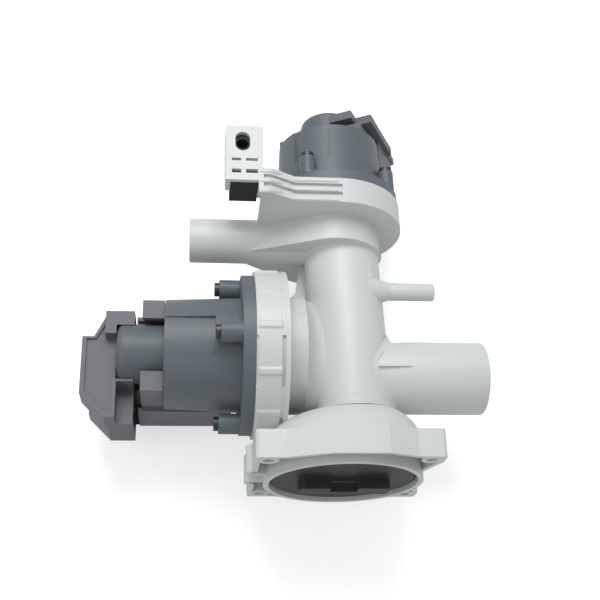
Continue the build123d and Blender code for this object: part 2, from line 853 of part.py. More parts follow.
# Filter basket: plate behind the knob and a slotted tube
basket_plate_y = knob_face_y + knob_depth + seat_gap
basket_tube_y = basket_plate_y + basket_plate_thickness
basket_length = basket_end_y - basket_tube_y
basket_pitch = (basket_length - basket_ring_width) / basket_rings
with BuildPart() as filter_basket:
    with BuildSketch(front_plane(basket_plate_y)):
        Circle(basket_plate_radius)
        Circle(stem_radius + seat_gap, mode=Mode.SUBTRACT)
    extrude(amount=-basket_plate_thickness)
    with BuildSketch(front_plane(basket_tube_y)):
        circle_at(basket_x, 0, basket_radius)
        with Locations((basket_x, 0)):
            Circle(basket_radius - basket_wall, mode=Mode.SUBTRACT)
    extrude(amount=-basket_length)
    for row in range(basket_rings):
        row_y = basket_tube_y + basket_ring_width + basket_pitch * row
        with BuildSketch(front_plane(row_y)):
            with Locations((basket_x, 0)):
                with PolarLocations(basket_radius, basket_slot_count):
                    Rectangle(basket_wall * 3, basket_slot_width)
        extrude(amount=-(basket_pitch - basket_ring_width), mode=Mode.SUBTRACT)


# Motor pieces. Each takes the plane of its flange face: its X runs sideways, its Y downwards
# and its normal along the rotor axis away from the pump chamber.
def housing_of_motor(
    base, flange_radius, recess_radius, screw_circle, screw_start, boss_radius, hood_length, can_end
):
    """Flange with spigot, screw bosses, open-bottomed hood and closed rotor can."""
    panel = ring_sector(
        hood_end_radius - panel_depth,
        hood_root_radius + cut_overrun,
        -RIGHT_ANGLE - panel_angle / 2,
        panel_angle,
    )
    with BuildPart() as piece:
        with BuildSketch(base):
            Circle(flange_radius)
        extrude(amount=motor_flange_thickness)
        with BuildSketch(base.offset(-spigot_depth)):
            Circle(recess_radius - fit_gap)
        extrude(amount=spigot_depth)
        with BuildSketch(base.offset(motor_flange_thickness)):
            Circle(hood_root_radius)
        with BuildSketch(base.offset(hood_length)):
            Circle(hood_end_radius)
        loft()
        with BuildSketch(base.offset(motor_flange_thickness)):
            Circle(hood_root_radius - hood_wall)
        with BuildSketch(base.offset(hood_length + cut_overrun)):
            Circle(hood_end_radius - hood_wall)
        loft(mode=Mode.SUBTRACT)
        with BuildSketch(base.offset(tray_start)):
            with Locations((0, hood_drop + hood_root_radius)):
                Rectangle(hood_root_radius * 3, hood_root_radius * 2)
        extrude(amount=hood_length, mode=Mode.SUBTRACT)
        with BuildSketch(base.offset(panel_start)):
            add(panel)
        extrude(amount=hood_length, mode=Mode.SUBTRACT)
        with BuildSketch(base.offset(motor_flange_thickness)):
            with PolarLocations(screw_circle, screw_count, start_angle=screw_start):
                Circle(boss_radius)
        extrude(amount=boss_height - motor_flange_thickness)
        with BuildSketch(base):
            Circle(can_radius)
        extrude(amount=can_end)
        fillet(last_circles(piece, Axis(base.origin, base.z_dir))[-1], radius=can_end_fillet)
        with BuildSketch(base.offset(-spigot_depth - cut_overrun)):
            Circle(can_bore)
        extrude(amount=spigot_depth + cut_overrun + can_end - can_wall, mode=Mode.SUBTRACT)
        fillet(last_circles(piece, Axis(base.origin, base.z_dir))[-1], radius=can_bore_fillet)
        with BuildSketch(base.offset(-cut_overrun)):
            with PolarLocations(screw_circle, screw_count, start_angle=screw_start):
                Circle(screw_radius + fit_gap)
        extrude(amount=boss_height + cut_overrun + cut_overrun, mode=Mode.SUBTRACT)
    return piece.part


def seal_of_motor(base, recess_radius, ledge_radius):
    """Flat gasket between the spigot and the ledge in the pump flange."""
    with BuildPart() as piece:
        with BuildSketch(base.offset(-spigot_depth - gasket_thickness)):
            Circle(recess_radius - fit_gap)
            Circle(ledge_radius + fit_gap, mode=Mode.SUBTRACT)
        extrude(amount=gasket_thickness)
    return piece.part


def screws_of_motor(base, screw_circle, screw_start):
    """Four flange screws with a drive recess."""
    with BuildPart() as piece:
        with BuildSketch(base.offset(-screw_depth)):
            with PolarLocations(screw_circle, screw_count, start_angle=screw_start):
                Circle(screw_radius)
        extrude(amount=screw_depth + boss_height)
        with BuildSketch(base.offset(boss_height)):
            with PolarLocations(screw_circle, screw_count, start_angle=screw_start):
                Circle(screw_head_radius)
        extrude(amount=screw_head_height)
        with BuildSketch(base.offset(boss_height + screw_head_height)):
            with PolarLocations(screw_circle, screw_count, start_angle=screw_start):
                RegularPolygon(screw_recess_radius, 6)
        extrude(amount=-screw_recess_depth, mode=Mode.SUBTRACT)
    return piece.part


def front_bush_of_motor(base):
    """Bearing plate in the mouth of the rotor can."""
    with BuildPart() as piece:
        with BuildSketch(base.offset(-spigot_depth)):
            Circle(can_bore)
            Circle(shaft_bore, mode=Mode.SUBTRACT)
        extrude(amount=bush_length)
    return piece.part


def rear_bush_of_motor(base, can_end):
    """Bearing at the closed end of the rotor can."""
    with BuildPart() as piece:
        with BuildSketch(base.offset(can_end - can_end_fillet - rear_bush_length)):
            Circle(can_bore)
            Circle(shaft_bore, mode=Mode.SUBTRACT)
        extrude(amount=rear_bush_length)
    return piece.part


def shaft_of_motor(base, can_end, impeller_depth):
    """Steel shaft from the impeller to the rear bearing."""
    shaft_start = -spigot_depth - impeller_gap - impeller_depth + moulded_wall
    with BuildPart() as piece:
        with BuildSketch(base.offset(shaft_start)):
            Circle(shaft_radius)
        extrude(amount=can_end - can_wall - seat_gap - shaft_start)
    return piece.part


def hub_of_rotor(base, magnet_start, magnet_end):
    """Plastic sleeve that joins the magnet to the shaft."""
    with BuildPart() as piece:
        with BuildSketch(base.offset(magnet_start)):
            Circle(magnet_bore)
            Circle(shaft_radius, mode=Mode.SUBTRACT)
        extrude(amount=magnet_end - magnet_start)
    return piece.part


def magnet_of_rotor(base, magnet_start, magnet_end):
    """Ring magnet."""
    with BuildPart() as piece:
        with BuildSketch(base.offset(magnet_start)):
            Circle(magnet_radius)
            Circle(magnet_bore, mode=Mode.SUBTRACT)
        extrude(amount=magnet_end - magnet_start)
    return piece.part


def dog_of_rotor(base):
    """Drive dog on the shaft, which turns in the pocket of the impeller hub."""
    dog_length = hub_pocket_depth - dog_clearance - dog_clearance
    tooth = ring_sector(shaft_radius, dog_radius, -dog_angle / 2, dog_angle)
    with BuildPart() as piece:
        with BuildSketch(base.offset(-spigot_depth - impeller_gap - dog_clearance)):
            Circle(dog_collar_radius)
            add(tooth)
            Circle(shaft_radius, mode=Mode.SUBTRACT)
        extrude(amount=-dog_length)
    return piece.part


def impeller_of_pump(base, radius, depth, blade_count, plate_thickness):
    """Impeller with straight blades, a pocket for the drive dog and the stop in that pocket."""
    top = base.offset(-spigot_depth - impeller_gap)
    bottom = base.offset(-spigot_depth - impeller_gap - depth)
    stop = ring_sector(
        dog_collar_radius + bearing_gap, hub_pocket_radius, dog_angle / 2 + stop_margin, stop_angle
    )
    with BuildPart() as piece:
        with BuildSketch(top):
            Circle(hub_radius)
        extrude(amount=-depth)
        with BuildSketch(bottom):
            with PolarLocations(radius / 2, blade_count):
                Rectangle(radius, blade_thickness)
        extrude(amount=depth)
        if plate_thickness > 0:
            with BuildSketch(top):
                Circle(radius)
            extrude(amount=-plate_thickness)
        with BuildSketch(top.offset(cut_overrun)):
            Circle(hub_pocket_radius)
        extrude(amount=-(hub_pocket_depth + cut_overrun), mode=Mode.SUBTRACT)
        with BuildSketch(top.offset(-dog_clearance)):
            add(stop)
        extrude(amount=dog_clearance - hub_pocket_depth)
        with BuildSketch(top):
            Circle(shaft_bore)
        extrude(amount=-(depth - moulded_wall + seat_gap), mode=Mode.SUBTRACT)
    return piece.part


def core_of_stator(base, core_start, core_end):
    """Laminated U core with round pole faces on both sides of the rotor can."""
    with BuildPart() as piece:
        with BuildSketch(base.offset(core_start)):
            with BuildLine():
                Polyline(
                    (-core_half_width, -core_top),
                    (-core_half_width, yoke_bottom),
                    (core_half_width, yoke_bottom),
                    (core_half_width, -core_top),
                    (core_window, -core_top),
                    (core_window, yoke_top),
                    (-core_window, yoke_top),
                    (-core_window, -core_top),
                    close=True,
                )
            make_face()
            Circle(can_radius + core_pole_gap, mode=Mode.SUBTRACT)
        extrude(amount=core_end - core_start)
    return piece.part


def bobbin_of_stator(base, core_start, core_end):
    """Coil former around the yoke: a sleeve between two flanges."""
    sleeve_half_height = (yoke_bottom - yoke_top) / 2 + bobbin_wall
    flange_half_height = sleeve_half_height + winding_depth + bobbin_wall
    sleeve_length = core_end - core_start + 2 * bobbin_wall
    flange_length = sleeve_length + 2 * (winding_depth + bobbin_wall)
    coil_plane = Plane(
        origin=base.offset((core_start + core_end) / 2).from_local_coords(
            (-core_window, yoke_middle, 0)
        ),
        x_dir=base.z_dir,
        z_dir=base.x_dir,
    )
    with BuildPart() as piece:
        with BuildSketch(coil_plane):
            Rectangle(sleeve_length, sleeve_half_height * 2)
        extrude(amount=core_window * 2)
        with BuildSketch(coil_plane):
            Rectangle(flange_length, flange_half_height * 2)
        extrude(amount=bobbin_flange)
        with BuildSketch(coil_plane.offset(core_window * 2 - bobbin_flange)):
            Rectangle(flange_length, flange_half_height * 2)
        extrude(amount=bobbin_flange)
        with BuildSketch(coil_plane):
            Rectangle(core_end - core_start, yoke_bottom - yoke_top)
        extrude(amount=core_window * 2, mode=Mode.SUBTRACT)
    return piece.part


def winding_of_stator(base, core_start, core_end):
    """Copper winding between the flanges of the coil former."""
    sleeve_height = yoke_bottom - yoke_top + 2 * bobbin_wall
    sleeve_length = core_end - core_start + 2 * bobbin_wall
    coil_plane = Plane(
        origin=base.offset((core_start + core_end) / 2).from_local_coords(
            (-core_window + bobbin_flange, yoke_middle, 0)
        ),
        x_dir=base.z_dir,
        z_dir=base.x_dir,
    )
    with BuildPart() as piece:
        with BuildSketch(coil_plane):
            RectangleRounded(
                sleeve_length + 2 * winding_depth, sleeve_height + 2 * winding_depth, winding_depth
            )
            Rectangle(sleeve_length, sleeve_height, mode=Mode.SUBTRACT)
        extrude(amount=2 * (core_window - bobbin_flange))
    return piece.part


def cover_of_stator(
    base, hood_length, can_end, post_end, box_start, box_end, box_low, box_high, box_top,
    steps, corner, far_corner, notch_depth, screw_circle, screw_start, boss_radius,
):
    """Plastic stator cover: tray under the coil, posts at the core and end box with a socket."""
    side = Plane(origin=base.origin, x_dir=base.x_dir, z_dir=base.y_dir)
    socket_middle = (box_low + corner + socket_half_width, terminal_drop)
    far_ledge = box_high - far_corner

    def tray_face(shrink, top):
        Polygon(
            (-tray_half_width + shrink, top),
            (-tray_half_width + shrink, tray_knee),
            (-tray_bottom_half_width + shrink, tray_bottom - shrink),
            (tray_bottom_half_width - shrink, tray_bottom - shrink),
            (tray_half_width - shrink, tray_knee),
            (tray_half_width - shrink, top),
            align=None,
        )

    def box_face(shrink, start):
        Polygon(
            (box_low + shrink, -start),
            (box_high - shrink, -start),
            (box_high - shrink, -box_end + far_corner + shrink / 2),
            (far_ledge - shrink / 2, -box_end + far_corner / 2 + shrink / 2),
            (far_ledge - shrink / 2, -box_end + shrink),
            (box_low + corner + shrink / 2, -box_end + shrink),
            (box_low + shrink, -box_end + corner + shrink / 2),
            align=None,
        )

    def step_face(low, high, shrink):
        with Locations(((low + high) / 2, -(box_start + box_end - far_corner) / 2)):
            Rectangle(high - low - shrink * 2, box_end - far_corner - box_start - shrink * 2)

    with BuildPart() as piece:
        # Tray and box
        with BuildSketch(base.offset(tray_start + post_gap)):
            tray_face(0, hood_drop + post_gap)
        extrude(amount=box_start - tray_start - post_gap)
        with BuildSketch(side.offset(-box_top)):
            box_face(0, box_start)
        extrude(amount=box_lip_drop)
        with BuildSketch(side.offset(-box_top)):
            box_face(box_lip, box_start)
        extrude(amount=tray_bottom + box_top)

        # Hollows of the tray and the box
        with BuildSketch(base.offset(tray_start + post_gap + tray_wall)):
            tray_face(tray_wall, hood_drop)
        extrude(amount=box_start - tray_start - post_gap, mode=Mode.SUBTRACT)
        with BuildSketch(side.offset(-box_top + tray_wall + box_rim_height)):
            box_face(box_lip + tray_wall, box_start - cut_overrun)
        extrude(
            amount=tray_bottom + box_top - tray_wall - tray_wall - box_rim_height,
            mode=Mode.SUBTRACT,
        )
        with BuildSketch(side.offset(-box_top)):
            box_face(box_rim, box_start + box_rim)
        extrude(amount=box_rim_height, mode=Mode.SUBTRACT)

        # Posts beside the core
        for hand in (-1, 1):
            with BuildSketch(base.offset(hood_length + post_gap)):
                with BuildLine():
                    Polyline(
                        (hand * core_window, -core_top - post_gap),
                        (hand * core_window, -core_top - post_gap - post_cap),
                        (hand * (core_half_width + post_gap + post_cap), -core_top - post_cap),
                        (hand * (core_half_width + post_gap + post_cap), hood_drop + post_gap),
                        (hand * tray_half_width, hood_drop + post_gap),
                        (hand * tray_half_width, tray_knee),
                        (hand * (core_half_width + post_gap), tray_knee),
                        (hand * (core_half_width + post_gap), -core_top - post_gap),
                        close=True,
                    )
                make_face()
            extrude(amount=post_end - hood_length - post_gap)

        # Raised steps on the box
        for step_low, step_high, step_top in steps:
            with BuildSketch(side.offset(-step_top)):
                step_face(step_low, step_high, 0)
            extrude(amount=step_top - box_top + box_rim_height + tray_wall)
        for step_low, step_high, step_top in steps:
            with BuildSketch(side.offset(-step_top + tray_wall)):
                step_face(step_low, step_high, tray_wall)
            extrude(amount=step_top - box_top + box_rim_height, mode=Mode.SUBTRACT)

        # Notch beside the rotor can
        if notch_depth > 0:
            with BuildSketch(side.offset(-box_top)):
                with Locations((box_low, -box_start)):
                    Rectangle(
                        -core_window - box_low,
                        can_end - box_start + tray_wall,
                        align=(Align.MIN, Align.MAX),
                    )
            extrude(amount=notch_depth)
            with BuildSketch(side.offset(-box_top - cut_overrun)):
                with Locations((box_low - cut_overrun, -box_start + cut_overrun)):
                    Rectangle(
                        -core_window - box_low + cut_overrun - tray_wall,
                        can_end - box_start + cut_overrun,
                        align=(Align.MIN, Align.MAX),
                    )
            extrude(amount=notch_depth - tray_wall + cut_overrun, mode=Mode.SUBTRACT)

        # Clearance for the rotor can, the socket and the screw bosses
        with BuildSketch(base):
            Circle(can_radius + core_pole_gap)
        extrude(amount=can_end + core_pole_gap, mode=Mode.SUBTRACT)
        with BuildSketch(base.offset(box_end - cut_overrun - tray_wall)):
            with Locations(socket_middle):
                Rectangle(socket_half_width * 2, socket_half_height * 2)
        extrude(amount=cut_overrun * 3 + tray_wall, mode=Mode.SUBTRACT)
        with BuildSketch(base):
            with PolarLocations(screw_circle, screw_count, start_angle=screw_start):
                Circle(boss_radius + post_gap)
        extrude(amount=boss_height + screw_head_height + post_gap, mode=Mode.SUBTRACT)
    return piece.part


def terminals_of_stator(base, bobbin_end, box_end, box_low, corner):
    """Block on the coil former with two flat blades that reach into the socket."""
    socket_x = box_low + corner + socket_half_width
    with BuildPart() as piece:
        with BuildSketch(base.offset(bobbin_end)):
            with Locations((-core_window + terminal_width / 2, terminal_drop)):
                Rectangle(terminal_width, terminal_width)
        extrude(amount=bobbin_wall)
        with BuildSketch(base.offset(bobbin_end + bobbin_wall)):
            with Locations(((socket_x - core_window) / 2, terminal_drop)):
                Rectangle(
                    abs(socket_x + core_window) + terminal_spacing + terminal_width / 2,
                    terminal_width,
                )
        extrude(amount=bobbin_wall * 2)
        with BuildSketch(base.offset(bobbin_end + bobbin_wall * 3)):
            with Locations(
                (socket_x - terminal_spacing / 2, terminal_drop),
                (socket_x + terminal_spacing / 2, terminal_drop),
            ):
                Rectangle(terminal_thickness, terminal_width)
        extrude(amount=box_end - terminal_setback - bobbin_end - bobbin_wall * 3)
    return piece.part


def cutout_of_stator(base, bobbin_end):
    """Thermal cutout against the end of the winding."""
    with BuildPart() as piece:
        with BuildSketch(base.offset(bobbin_end - bobbin_wall)):
            with Locations((core_window - bobbin_flange - bobbin_wall, yoke_middle)):
                Rectangle(cutout_length, cutout_height, align=(Align.MAX, Align.CENTER))
        extrude(amount=cutout_thickness)
    return piece.part


def pieces_of_motor(
    prefix, base, flange_radius, recess_radius, ledge_radius, screw_circle, screw_start,
    boss_radius, hood_length, can_end, core_start, core_end, post_end, box_start, box_end,
    box_low, box_high, box_top, steps, box_corner, box_far_corner, notch_depth,
    impeller_radius, impeller_depth, blade_count, plate_thickness,
):
    """All pieces of one motor and its impeller, by name."""
    magnet_start = core_start - bobbin_flange
    magnet_end = core_end + bobbin_flange
    bobbin_end = core_end + bobbin_wall + winding_depth + bobbin_wall
    pieces = {
        "motor_housing": housing_of_motor(
            base, flange_radius, recess_radius, screw_circle, screw_start, boss_radius,
            hood_length, can_end,
        ),
        "flange_seal": seal_of_motor(base, recess_radius, ledge_radius),
        "flange_screws": screws_of_motor(base, screw_circle, screw_start),
        "front_bush": front_bush_of_motor(base),
        "rear_bush": rear_bush_of_motor(base, can_end),
        "rotor_shaft": shaft_of_motor(base, can_end, impeller_depth),
        "rotor_hub": hub_of_rotor(base, magnet_start, magnet_end),
        "rotor_magnet": magnet_of_rotor(base, magnet_start, magnet_end),
        "drive_dog": dog_of_rotor(base),
        "impeller": impeller_of_pump(
            base, impeller_radius, impeller_depth, blade_count, plate_thickness
        ),
        "stator_core": core_of_stator(base, core_start, core_end),
        "coil_bobbin": bobbin_of_stator(base, core_start, core_end),
        "coil_winding": winding_of_stator(base, core_start, core_end),
        "stator_cover": cover_of_stator(
            base, hood_length, can_end, post_end, box_start, box_end, box_low, box_high,
            box_top, steps, box_corner, box_far_corner, notch_depth, screw_circle, screw_start,
            boss_radius,
        ),
        "terminals": terminals_of_stator(base, bobbin_end, box_end, box_low, box_corner),
        "thermal_cutout": cutout_of_stator(base, bobbin_end),
    }
    return {f"{prefix}_{name}": piece for name, piece in pieces.items()}


drain_pieces = pieces_of_motor(
    "drain", drain_base, drain_motor_flange_radius, drain_recess_radius, drain_chamber_radius,
    drain_screw_circle, drain_screw_start, drain_boss_radius, drain_hood_length, drain_can_end,
    drain_core_start, drain_core_end, drain_post_end, drain_box_start, drain_box_end,
    drain_box_low, drain_box_high, drain_box_top, drain_steps, drain_box_corner,
    drain_box_far_corner, drain_notch_depth, drain_impeller_radius, drain_impeller_depth,
    drain_blade_count, 0,
)
circulation_pieces = pieces_of_motor(
    "circulation", circulation_base, circulation_motor_flange_radius, circulation_recess_radius,
    circulation_ledge_radius, circulation_screw_circle, circulation_screw_start,
    circulation_boss_radius, circulation_hood_length, circulation_can_end,
    circulation_core_start, circulation_core_end, circulation_post_end, circulation_box_start,
    circulation_box_end, circulation_box_low, circulation_box_high, circulation_box_top,
    circulation_steps, circulation_box_corner, circulation_box_far_corner, 0,
    circulation_impeller_radius, circulation_impeller_depth, circulation_blade_count,
    blade_thickness,
)

housing_pieces = {
    "housing_front_flange": housing_front_flange.part,
    "housing_main_tube": housing_main_tube.part,
    "housing_inlet": housing_inlet.part,
    "housing_vent": housing_vent.part,
    "housing_drain_chamber": housing_drain_chamber.part,
    "housing_drain_outlet": housing_drain_outlet.part,
    "housing_volute": housing_volute.part,
    "housing_circulation_outlet": housing_circulation_outlet.part,
    "housing_bracket_arm": housing_bracket_arm.part,
    "mount_rubber": mount_rubber.part,
    "filter_knob": filter_knob.part,
    "filter_seal": filter_seal.part,
    "filter_basket": filter_basket.part,
}

os.makedirs("parts", exist_ok=True)
for name, piece in {**housing_pieces, **drain_pieces, **circulation_pieces}.items():
    piece.label = name
    export_step(piece, f"parts/{name}.step")
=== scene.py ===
"""Looks of the washing machine pump assembly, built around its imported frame."""
import json
import math
import bmesh
import bpy
import numpy as np
from mathutils import Matrix, Vector

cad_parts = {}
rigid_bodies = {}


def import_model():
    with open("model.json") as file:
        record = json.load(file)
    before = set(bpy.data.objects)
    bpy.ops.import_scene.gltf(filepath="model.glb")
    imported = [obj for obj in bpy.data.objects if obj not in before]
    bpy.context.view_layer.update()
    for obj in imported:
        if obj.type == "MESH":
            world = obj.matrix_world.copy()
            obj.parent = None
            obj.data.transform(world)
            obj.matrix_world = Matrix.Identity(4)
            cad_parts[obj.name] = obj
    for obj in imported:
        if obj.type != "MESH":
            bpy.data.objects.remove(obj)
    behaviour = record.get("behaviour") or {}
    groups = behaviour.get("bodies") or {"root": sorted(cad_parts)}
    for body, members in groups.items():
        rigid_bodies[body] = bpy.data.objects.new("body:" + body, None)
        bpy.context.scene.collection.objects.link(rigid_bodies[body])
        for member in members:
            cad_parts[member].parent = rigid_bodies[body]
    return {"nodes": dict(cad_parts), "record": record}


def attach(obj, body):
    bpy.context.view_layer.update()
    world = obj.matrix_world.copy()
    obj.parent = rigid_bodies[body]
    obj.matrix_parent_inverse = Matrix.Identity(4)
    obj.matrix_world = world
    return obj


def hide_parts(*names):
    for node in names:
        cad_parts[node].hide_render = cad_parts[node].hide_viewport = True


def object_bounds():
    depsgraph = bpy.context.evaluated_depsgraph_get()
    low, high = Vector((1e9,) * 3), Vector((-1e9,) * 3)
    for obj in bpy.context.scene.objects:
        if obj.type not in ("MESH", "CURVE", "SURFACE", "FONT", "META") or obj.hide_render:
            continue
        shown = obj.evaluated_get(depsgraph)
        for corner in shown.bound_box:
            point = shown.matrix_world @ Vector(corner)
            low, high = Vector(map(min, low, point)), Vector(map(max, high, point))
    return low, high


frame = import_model()
cad_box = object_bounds()

# Camera: the photograph's view, from a fit of the object's own lines
camera_place = (-0.06814, -0.11094, 0.43156)
camera_right = (0.99396, -0.02838, 0.10600)
camera_up = (-0.01800, 0.91072, 0.41262)
camera_back = (-0.10825, -0.41204, 0.90471)
camera_sensor = 36.0
camera_focal_px = 1009.1
photo_px = 600
camera_clip_start = 0.01

camera = bpy.data.objects.new("camera", bpy.data.cameras.new("camera"))
camera.data.sensor_width = camera_sensor
camera.data.lens = camera_focal_px * camera_sensor / photo_px
camera.data.clip_start = camera_clip_start
turn = Matrix((camera_right, camera_up, camera_back)).transposed()
camera.matrix_world = Matrix.Translation(camera_place) @ turn.to_4x4()
bpy.context.scene.collection.objects.link(camera)
bpy.context.scene.camera = camera
bpy.context.scene.view_settings.view_transform = "Standard"


# Materials
drift_scale = 30.0
drift_detail = 4.0
fine_grain = 1500.0
grain_detail = 2.0
grain_depth = 0.00002
grain_strength = 0.3
satin = 0.35
roughness_drift = 0.1


def surface_group():
    """Moulded surface: broad tone drift, fine grain height and a roughness that follows them."""
    group = bpy.data.node_groups.new("moulded surface", "ShaderNodeTree")
    sockets = group.interface
    for name, kind, value in (
        ("Light", "NodeSocketColor", (0.8, 0.8, 0.8, 1)),
        ("Dark", "NodeSocketColor", (0.6, 0.6, 0.6, 1)),
        ("Drift Scale", "NodeSocketFloat", drift_scale),
        ("Grain Scale", "NodeSocketFloat", fine_grain),
        ("Roughness", "NodeSocketFloat", satin),
        ("Roughness Drift", "NodeSocketFloat", roughness_drift),
    ):
        socket = sockets.new_socket(name, in_out="INPUT", socket_type=kind)
        socket.default_value = value
    for name, kind in (
        ("Color", "NodeSocketColor"),
        ("Roughness", "NodeSocketFloat"),
        ("Height", "NodeSocketFloat"),
    ):
        sockets.new_socket(name, in_out="OUTPUT", socket_type=kind)
    nodes = group.nodes
    link = group.links.new
    inside = nodes.new("NodeGroupInput")
    out = nodes.new("NodeGroupOutput")
    place = nodes.new("ShaderNodeTexCoord")
    drift = nodes.new("ShaderNodeTexNoise")
    drift.inputs["Detail"].default_value = drift_detail
    link(place.outputs["Object"], drift.inputs["Vector"])
    link(inside.outputs["Drift Scale"], drift.inputs["Scale"])
    grain = nodes.new("ShaderNodeTexNoise")
    grain.inputs["Detail"].default_value = grain_detail
    link(place.outputs["Object"], grain.inputs["Vector"])
    link(inside.outputs["Grain Scale"], grain.inputs["Scale"])
    tone = nodes.new("ShaderNodeMix")
    tone.data_type = "RGBA"
    link(drift.outputs["Fac"], tone.inputs["Factor"])
    link(inside.outputs["Light"], tone.inputs["A"])
    link(inside.outputs["Dark"], tone.inputs["B"])
    shift = nodes.new("ShaderNodeMath")
    shift.operation = "MULTIPLY_ADD"
    link(drift.outputs["Fac"], shift.inputs[0])
    link(inside.outputs["Roughness Drift"], shift.inputs[1])
    link(inside.outputs["Roughness"], shift.inputs[2])
    link(tone.outputs["Result"], out.inputs["Color"])
    link(shift.outputs["Value"], out.inputs["Roughness"])
    link(grain.outputs["Fac"], out.inputs["Height"])
    return group


moulded = surface_group()


def finish(name, light, dark, roughness=satin, metallic=0.0):
    """Moulded plastic, rubber or metal whose tone drifts between two colours."""
    material = bpy.data.materials.new(name)
    material.use_nodes = True
    nodes = material.node_tree.nodes
    link = material.node_tree.links.new
    shader = nodes["Principled BSDF"]
    surface = nodes.new("ShaderNodeGroup")
    surface.node_tree = moulded
    surface.inputs["Light"].default_value = (*light, 1)
    surface.inputs["Dark"].default_value = (*dark, 1)
    surface.inputs["Roughness"].default_value = roughness
    bump = nodes.new("ShaderNodeBump")
    bump.inputs["Strength"].default_value = grain_strength
    bump.inputs["Distance"].default_value = grain_depth
    link(surface.outputs["Color"], shader.inputs["Base Color"])
    link(surface.outputs["Roughness"], shader.inputs["Roughness"])
    link(surface.outputs["Height"], bump.inputs["Height"])
    link(bump.outputs["Normal"], shader.inputs["Normal"])
    shader.inputs["Metallic"].default_value = metallic
    return material


# Lighter and darker tone of each finish, then its roughness and how metallic it is
finish_tones = {
    "housing_plastic": ((0.66, 0.695, 0.695), (0.61, 0.645, 0.64)),
    "black_rubber": ((0.012, 0.012, 0.012), (0.02, 0.02, 0.02), 0.6),
    "knob_plastic": ((0.018, 0.014, 0.014), (0.03, 0.026, 0.026), 0.4),
    "seal_rubber": ((0.02, 0.02, 0.02), (0.03, 0.03, 0.03), 0.6),
    "basket_plastic": ((0.5, 0.52, 0.5), (0.44, 0.46, 0.44)),
    "motor_plastic": ((0.13, 0.16, 0.18), (0.10, 0.125, 0.14), 0.4),
    "cover_plastic": ((0.155, 0.16, 0.18), (0.125, 0.13, 0.15), 0.45),
    "screw_steel": ((0.09, 0.1, 0.11), (0.05, 0.055, 0.06), 0.35, 0.8),
    "shaft_steel": ((0.5, 0.5, 0.5), (0.4, 0.4, 0.4), 0.2, 1.0),
    "bush_plastic": ((0.05, 0.05, 0.05), (0.03, 0.03, 0.03)),
    "hub_plastic": ((0.6, 0.6, 0.5), (0.5, 0.5, 0.42)),
    "magnet_ferrite": ((0.03, 0.03, 0.03), (0.05, 0.05, 0.05)),
    "impeller_plastic": ((0.4, 0.42, 0.42), (0.34, 0.36, 0.36)),
    "core_steel": ((0.2, 0.18, 0.16), (0.12, 0.1, 0.09), 0.5, 0.7),
    "bobbin_plastic": ((0.6, 0.58, 0.5), (0.5, 0.48, 0.42)),
    "winding_copper": ((0.35, 0.12, 0.05), (0.25, 0.08, 0.03), 0.3, 0.8),
    "terminal_metal": ((0.6, 0.55, 0.4), (0.5, 0.45, 0.3), 0.3, 1.0),
    "cutout_plastic": ((0.03, 0.02, 0.02), (0.02, 0.02, 0.02)),
}
finishes = {slot: finish(slot.replace("_", " "), *tones) for slot, tones in finish_tones.items()}
slot_of = {part["node"]: part["material_slot"] for part in frame["record"]["subparts"]}
bodies = frame["record"]["behaviour"]["bodies"]
body_of = {node: body for body, nodes in bodies.items() for node in nodes}
for node, piece in frame["nodes"].items():
    piece.data.materials.clear()
    piece.data.materials.append(finishes[slot_of[node]])

# Pieces
MM = 0.001
weld_distance = 0.000002
flat_angle = math.radians(0.6)
crease_angle = math.radians(32)
bevel_segments = 2
round_steps = 120
ring_steps = 144
band_steps = 1080
arc_steps = 9
neck_steps = 24
ridge_steps = 60
ridge_arc_steps = 11


def add_piece(name, mesh, node):
    """Puts a mesh into the scene on the body and with the finish of a CAD node."""
    mesh.materials.clear()
    mesh.materials.append(finishes[slot_of[node]])
    piece = bpy.data.objects.new(name, mesh)
    bpy.context.scene.collection.objects.link(piece)
    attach(piece, body_of[node])
    return piece


def round_edges(piece, width):
    """Rounds the creases of a piece by a width in metres and shades the rest smooth."""
    if width > 0:
        bevel = piece.modifiers.new("rounded edges", "BEVEL")
        bevel.width = width
        bevel.segments = bevel_segments
        bevel.limit_method = "ANGLE"
        bevel.angle_limit = crease_angle
        bevel.use_clamp_overlap = True
        bevel.harden_normals = True
    piece.data.shade_smooth()


def grid_piece(name, points, node, close_rows=True):
    """Piece from a grid of points: quads between neighbours, each row closed on itself.

    The last row joins the first, or both get a flat end face. The faces are turned outwards.
    """
    rows, columns = points.shape[:2]
    row = np.arange(rows if close_rows else rows - 1)[:, None]
    column = np.arange(columns)[None, :]
    after_row = (row + 1) % rows
    after_column = (column + 1) % columns
    quads = np.stack(
        (
            row * columns + column, after_row * columns + column,
            after_row * columns + after_column, row * columns + after_column,
        ),
        axis=-1,
    ).reshape(-1, 4)
    faces = quads.tolist()
    if not close_rows:
        faces.append(list(range(columns)))
        faces.append(list(range((rows - 1) * columns, rows * columns)))
    mesh = bpy.data.meshes.new(name)
    mesh.from_pydata(points.reshape(-1, 3).tolist(), [], faces)
    work = bmesh.new()
    work.from_mesh(mesh)
    bmesh.ops.recalc_face_normals(work, faces=work.faces)
    work.to_mesh(mesh)
    work.free()
    mesh.shade_smooth()
    mesh.set_sharp_from_angle(angle=crease_angle)
    add_piece(name, mesh, node)


